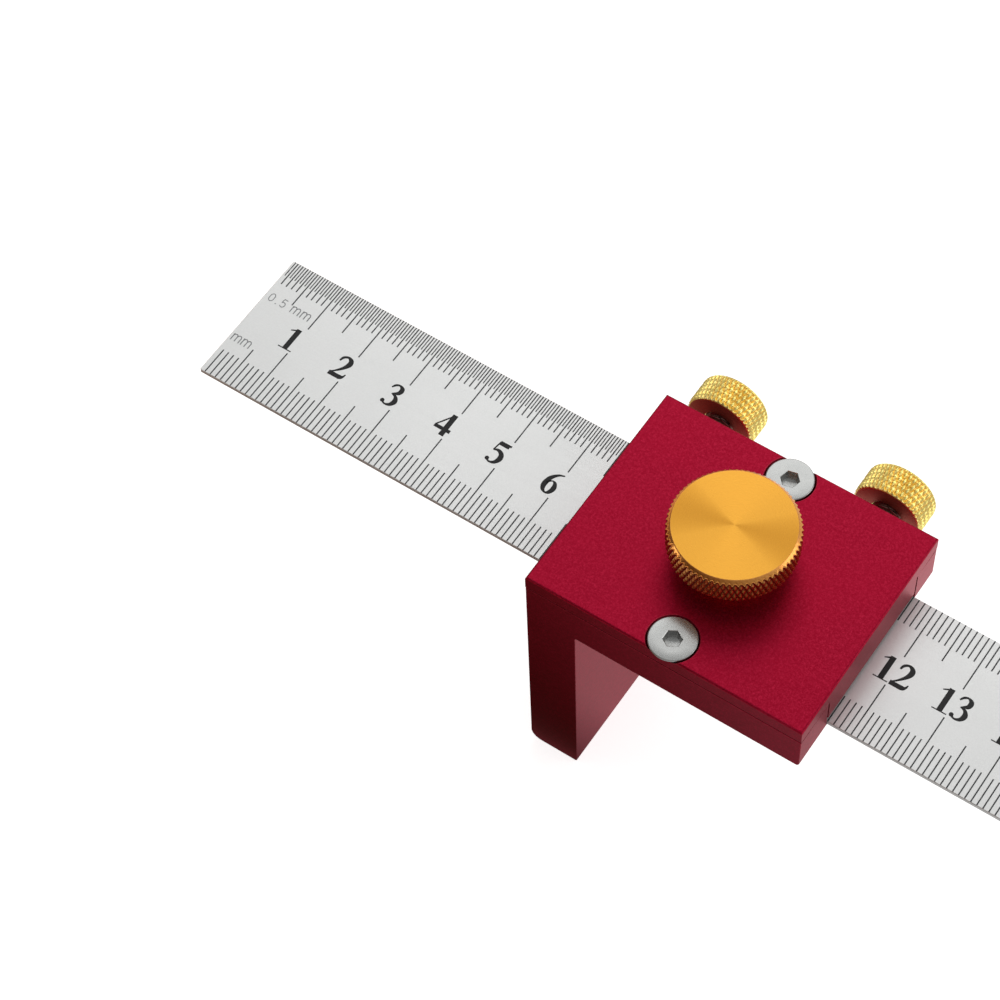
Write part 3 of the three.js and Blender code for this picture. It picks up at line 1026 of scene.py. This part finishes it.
def rule_graduations():
    """Millimetres along both edges, and half millimetres along the far edge up to 100."""
    ink = Ink()
    edge = (RULE_HIGH.y - RULE_LOW.y) / 2 - 0.1
    for mark in range(1, 201):
        x = RULE_LOW.x + mark
        ink.bar(x, -edge, -edge + tick_length(mark, *NEAR_TICKS), TICK_WIDTH)
        ink.bar(x, edge - tick_length(mark, *FAR_TICKS), edge, TICK_WIDTH)
    for mark in range(100):
        ink.bar(RULE_LOW.x + mark + 0.5, edge - HALF_TICK, edge, TICK_WIDTH * 0.8)
    return ink.publish("rule_graduations", TICK_INK)


# Serif numerals, drawn with a pen whose width changes along each stroke. A cell is 1 tall and
# each point is (x, y, pen width). "smooth" strokes and "loop" strokes are curves through their
# points, and a loop is closed.

CELL_WIDE = 0.62
NUMERALS = {
    "0": [("loop", [(0.31, 0.97, 0.05), (0.45, 0.82, 0.13), (0.485, 0.5, 0.17), (0.45, 0.18, 0.13),
                    (0.31, 0.03, 0.05), (0.17, 0.18, 0.13), (0.135, 0.5, 0.17), (0.17, 0.82, 0.13)])],
    "1": [("line", [(0.33, 0.0, 0.17), (0.33, 0.985, 0.17)]),
          ("line", [(0.09, 0.815, 0.035), (0.33, 0.95, 0.07)]),
          ("line", [(0.09, 0.018, 0.036), (0.57, 0.018, 0.036)])],
    "2": [("smooth", [(0.1, 0.7, 0.06), (0.15, 0.87, 0.09), (0.29, 0.96, 0.08), (0.43, 0.87, 0.15),
                      (0.455, 0.7, 0.17), (0.37, 0.48, 0.11), (0.2, 0.24, 0.06), (0.06, 0.1, 0.05)]),
          ("smooth", [(0.045, 0.075, 0.15), (0.3, 0.075, 0.15), (0.46, 0.085, 0.15),
                      (0.54, 0.15, 0.08), (0.575, 0.28, 0.03)])],
    "3": [("smooth", [(0.09, 0.77, 0.05), (0.17, 0.91, 0.08), (0.3, 0.965, 0.07), (0.425, 0.86, 0.15),
                      (0.41, 0.67, 0.14), (0.24, 0.545, 0.04)]),
          ("smooth", [(0.22, 0.545, 0.04), (0.39, 0.48, 0.1), (0.47, 0.29, 0.17), (0.4, 0.1, 0.12),
                      (0.25, 0.03, 0.06), (0.12, 0.09, 0.07)]),
          ("dot", [(0.115, 0.12, 0.14)])],
    "4": [("line", [(0.4, 0.97, 0.05), (0.05, 0.32, 0.05)]),
          ("line", [(0.03, 0.28, 0.12), (0.6, 0.28, 0.12)]),
          ("line", [(0.41, 0.0, 0.17), (0.41, 1.0, 0.17)])],
    "5": [("line", [(0.16, 0.905, 0.15), (0.5, 0.905, 0.15)]),
          ("line", [(0.5, 0.93, 0.1), (0.545, 1.0, 0.02)]),
          ("line", [(0.17, 0.95, 0.045), (0.115, 0.56, 0.045)]),
          ("smooth", [(0.105, 0.55, 0.05), (0.27, 0.6, 0.1), (0.42, 0.5, 0.15), (0.465, 0.31, 0.17),
                      (0.39, 0.11, 0.12), (0.24, 0.03, 0.06), (0.12, 0.09, 0.07)]),
          ("dot", [(0.115, 0.12, 0.14)])],
    "6": [("smooth", [(0.54, 0.97, 0.035), (0.36, 0.88, 0.08), (0.2, 0.66, 0.14), (0.145, 0.36, 0.17),
                      (0.19, 0.13, 0.13), (0.32, 0.03, 0.06), (0.43, 0.12, 0.13), (0.475, 0.31, 0.16),
                      (0.43, 0.5, 0.12), (0.33, 0.575, 0.05), (0.23, 0.5, 0.05), (0.18, 0.4, 0.05)])],
    "7": [("line", [(0.08, 0.915, 0.15), (0.56, 0.915, 0.15)]),
          ("line", [(0.1, 0.9, 0.09), (0.055, 0.7, 0.02)]),
          ("smooth", [(0.545, 0.93, 0.06), (0.4, 0.62, 0.08), (0.3, 0.32, 0.14), (0.265, 0.0, 0.18)])],
    "8": [("loop", [(0.31, 0.97, 0.05), (0.425, 0.89, 0.11), (0.43, 0.73, 0.12), (0.32, 0.56, 0.09),
                    (0.2, 0.65, 0.13), (0.175, 0.78, 0.13), (0.21, 0.91, 0.1)]),
          ("loop", [(0.3, 0.55, 0.09), (0.44, 0.44, 0.14), (0.47, 0.25, 0.15), (0.42, 0.09, 0.11),
                    (0.3, 0.03, 0.05), (0.175, 0.1, 0.12), (0.14, 0.25, 0.13), (0.18, 0.42, 0.09)])],
}


def half_turn(strokes):
    return [(kind, [(CELL_WIDE - x, 1 - y, w) for x, y, w in points]) for kind, points in strokes]


NUMERALS["9"] = half_turn(NUMERALS["6"])

# Thin letters for the unit marks, in the same cell.
THIN = 0.085
UNITS = {
    "0": [("loop", [(0.31, 0.95, THIN), (0.52, 0.78, THIN), (0.55, 0.5, THIN), (0.52, 0.22, THIN),
                    (0.31, 0.05, THIN), (0.1, 0.22, THIN), (0.07, 0.5, THIN), (0.1, 0.78, THIN)])],
    ".": [("dot", [(0.31, 0.07, 0.13)])],
    "5": [("line", [(0.13, 0.95, THIN), (0.53, 0.95, THIN)]),
          ("line", [(0.16, 0.95, THIN), (0.1, 0.5, THIN)]),
          ("smooth", [(0.1, 0.52, THIN), (0.3, 0.61, THIN), (0.5, 0.5, THIN), (0.54, 0.3, THIN),
                      (0.45, 0.1, THIN), (0.27, 0.05, THIN), (0.08, 0.16, THIN)])],
    "m": [("line", [(0.06, 0.0, THIN), (0.06, 0.7, THIN)]),
          ("smooth", [(0.06, 0.5, THIN), (0.18, 0.66, THIN), (0.34, 0.66, THIN), (0.43, 0.5, THIN),
                      (0.43, 0.3, THIN), (0.43, 0.0, THIN)]),
          ("smooth", [(0.43, 0.5, THIN), (0.55, 0.66, THIN), (0.71, 0.66, THIN), (0.8, 0.5, THIN),
                      (0.8, 0.3, THIN), (0.8, 0.0, THIN)])],
}


def curve_through(points, closed):
    """Catmull-Rom points through (x, y, width) points."""
    steps = 6
    out = []
    count = len(points)
    spans = count if closed else count - 1
    for i in range(spans):
        if closed:
            p0, p1, p2, p3 = (Vector(points[(i + k) % count]) for k in (-1, 0, 1, 2))
        else:
            p1, p2 = Vector(points[i]), Vector(points[i + 1])
            p0 = Vector(points[i - 1]) if i else 2 * p1 - p2
            p3 = Vector(points[i + 2]) if i + 2 < count else 2 * p2 - p1
        for step in range(steps):
            t = step / steps
            out.append(
                0.5 * (2 * p1 + (p2 - p0) * t + (2 * p0 - 5 * p1 + 4 * p2 - p3) * t * t
                       + (3 * p1 - 3 * p2 + p3 - p0) * t ** 3)
            )
    if not closed:
        out.append(Vector(points[-1]))
    return out


def pen_stroke(ink, path, closed):
    """Lays a band along the path, as wide at each point as the point's z."""
    left, right = [], []
    count = len(path)
    for i, point in enumerate(path):
        before = path[i - 1] if (i or closed) else path[i]
        after = path[(i + 1) % count] if (i + 1 < count or closed) else path[i]
        along = Vector((after.x - before.x, after.y - before.y)).normalized()
        across = Vector((-along.y, along.x)) * point.z / 2
        left.append((point.x + across.x, point.y + across.y))
        right.append((point.x - across.x, point.y - across.y))
    ink.strip(left, right, closed)


def write(ink, font, text, x, y, height, advance, stretch=1.0, weight=1.0):
    """Writes text with its first cell's lower left corner at x, y.

    stretch widens the figures and weight thickens the pen.
    """
    wide = height * stretch
    pen = height * weight
    for index, character in enumerate(text):
        origin = x + index * advance
        for kind, points in font[character]:
            scaled = [(origin + px * wide, y + py * height, w * pen) for px, py, w in points]
            if kind == "dot":
                ink.dot(scaled[0][0], scaled[0][1], scaled[0][2] / 2)
            elif kind == "line":
                pen_stroke(ink, [Vector(p) for p in scaled], False)
            else:
                pen_stroke(ink, curve_through(scaled, kind == "loop"), kind == "loop")


def rule_numbers():
    """A number at each centimetre; its first figure ends at the mark."""
    ink = Ink()
    height = 4.4
    advance = 2.95
    base = -2.25
    for centimetre in range(1, 21):
        x = RULE_LOW.x + 10 * centimetre - (2.7 if centimetre < 10 else advance)
        text = str(centimetre)
        write(ink, NUMERALS, text, x, base, height, advance, stretch=1.17, weight=1.2)
    return ink.publish("rule_numbers", INK)


def rule_units():
    """The unit beside each edge's first marks."""
    ink = Ink()
    start = RULE_LOW.x
    far_row = 4.05
    near_row = -5.45
    letter = 2.0
    write(ink, UNITS, "0.5", start + 0.85, far_row, 1.7, 1.15)
    write(ink, UNITS, "mm", start + 5.3, far_row, letter, 2.0)
    write(ink, UNITS, "mm", start + 0.5, near_row, letter, 1.95)
    return ink.publish("rule_units", UNIT_INK)


# ---------------------------------------------------------------------------- assembly

fence_body()
cover_plate()
cover_screw("cover_screw_near", "cover_bolt_near", 31)
cover_screw("cover_screw_far", "cover_bolt_far", 14)
clamp_knob()
clamp_stud()
for end in ("fence_end", "free_end"):
    side_knob(f"side_knob_{end}", f"side_screw_{end}", f"thumb_knob_{end}")
    side_stud(f"side_stud_{end}", f"side_screw_{end}", f"thumb_stud_{end}")
rule_blade()
rule_graduations()
rule_numbers()
rule_units()

for node in ("clamp_pad", "side_pad_fence_end", "side_pad_free_end"):
    NODES[node].data.materials.clear()
    NODES[node].data.materials.append(BRASS)

# ------------------------------------------------------------- floor, light and camera


def floor():
    mesh = bpy.data.meshes.new("floor")
    size = 6.0
    z = BODY_LOW.z * MM
    corners = [(-size, -size, z), (size, -size, z), (size, size, z), (-size, size, z)]
    mesh.from_pydata(corners, [], [(0, 1, 2, 3)])
    obj = bpy.data.objects.new("floor", mesh)
    bpy.context.scene.collection.objects.link(obj)
    mesh.materials.append(pale_floor())


LIT_POINT = Vector((20, 0, 0))


def area_light(name, direction, distance, size, radiance):
    """A square soft light that looks at the block from a direction."""
    data = bpy.data.lights.new(name, "AREA")
    data.shape = "SQUARE"
    data.size = size
    data.energy = radiance * math.pi * size * size
    lamp = bpy.data.objects.new(name, data)
    bpy.context.scene.collection.objects.link(lamp)
    towards = Vector(direction).normalized()
    lamp.location = LIT_POINT * MM + towards * distance
    lamp.rotation_euler = towards.to_track_quat("Z", "Y").to_euler()
    return lamp


def surroundings():
    """A room that is dimmer on the near side; the camera itself sees plain white."""
    world = bpy.data.worlds.new("studio")
    bpy.context.scene.world = world
    world.use_nodes = True
    tree = world.node_tree
    background = tree.nodes["Background"]
    coords = tree.nodes.new("ShaderNodeTexCoord")
    dot = tree.nodes.new("ShaderNodeVectorMath")
    dot.operation = "DOT_PRODUCT"
    dot.inputs[1].default_value = (0.35, 0.6, 0.72)
    tree.links.new(coords.outputs["Generated"], dot.inputs[0])
    ramp = tree.nodes.new("ShaderNodeMapRange")
    ramp.inputs["From Min"].default_value = -0.45
    ramp.inputs["From Max"].default_value = 0.7
    ramp.inputs["To Min"].default_value = 0.06
    ramp.inputs["To Max"].default_value = 0.56
    tree.links.new(dot.outputs["Value"], ramp.inputs["Value"])
    tree.links.new(ramp.outputs["Result"], background.inputs["Strength"])
    warmth = tree.nodes.new("ShaderNodeMapRange")
    warmth.inputs["From Min"].default_value = 0.06
    warmth.inputs["From Max"].default_value = 0.4
    tree.links.new(ramp.outputs["Result"], warmth.inputs["Value"])
    tint = tree.nodes.new("ShaderNodeMix")
    tint.data_type = "RGBA"
    tint.inputs[6].default_value = (1.0, 0.62, 0.45, 1.0)
    tint.inputs[7].default_value = WHITE
    tree.links.new(warmth.outputs["Result"], tint.inputs[0])
    tree.links.new(tint.outputs[2], background.inputs["Color"])
    backdrop = tree.nodes.new("ShaderNodeBackground")
    backdrop.inputs["Color"].default_value = WHITE
    path = tree.nodes.new("ShaderNodeLightPath")
    mixed = tree.nodes.new("ShaderNodeMixShader")
    tree.links.new(path.outputs["Is Camera Ray"], mixed.inputs[0])
    tree.links.new(background.outputs[0], mixed.inputs[1])
    tree.links.new(backdrop.outputs[0], mixed.inputs[2])
    tree.links.new(mixed.outputs[0], tree.nodes["World Output"].inputs["Surface"])


CAMERA_PLACE = Vector((135.18, -207.49, 396.59))
CAMERA_AZIMUTH = 36.664
CAMERA_ELEVATION = 57.739
CAMERA_ROLL = 3.047
CAMERA_LENS = 109.056


def camera():
    data = bpy.data.cameras.new("camera")
    data.lens = CAMERA_LENS
    data.sensor_width = 36.0
    data.clip_start = 0.01
    data.clip_end = 20.0
    obj = bpy.data.objects.new("camera", data)
    bpy.context.scene.collection.objects.link(obj)
    azimuth = math.radians(CAMERA_AZIMUTH)
    elevation = math.radians(CAMERA_ELEVATION)
    back = Vector((
        math.sin(azimuth) * math.cos(elevation),
        -math.cos(azimuth) * math.cos(elevation),
        math.sin(elevation),
    ))
    level = back.to_track_quat("Z", "Y").to_matrix()
    roll = Matrix.Rotation(math.radians(-CAMERA_ROLL), 3, "Z")
    obj.matrix_world = Matrix.Translation(CAMERA_PLACE * MM) @ (level @ roll).to_4x4()
    bpy.context.scene.camera = obj


floor()
surroundings()
area_light("key", (-0.28, 0.62, 0.72), 0.8, 0.55, 1.15)
area_light("fill", (0.9, 0.5, 0.36), 1.0, 0.6, 1.5)
area_light("left_sparkle", (-0.78, -0.5, 0.22), 1.0, 0.16, 4.0)
camera()

scene = bpy.context.scene
scene.view_settings.view_transform = "Standard"
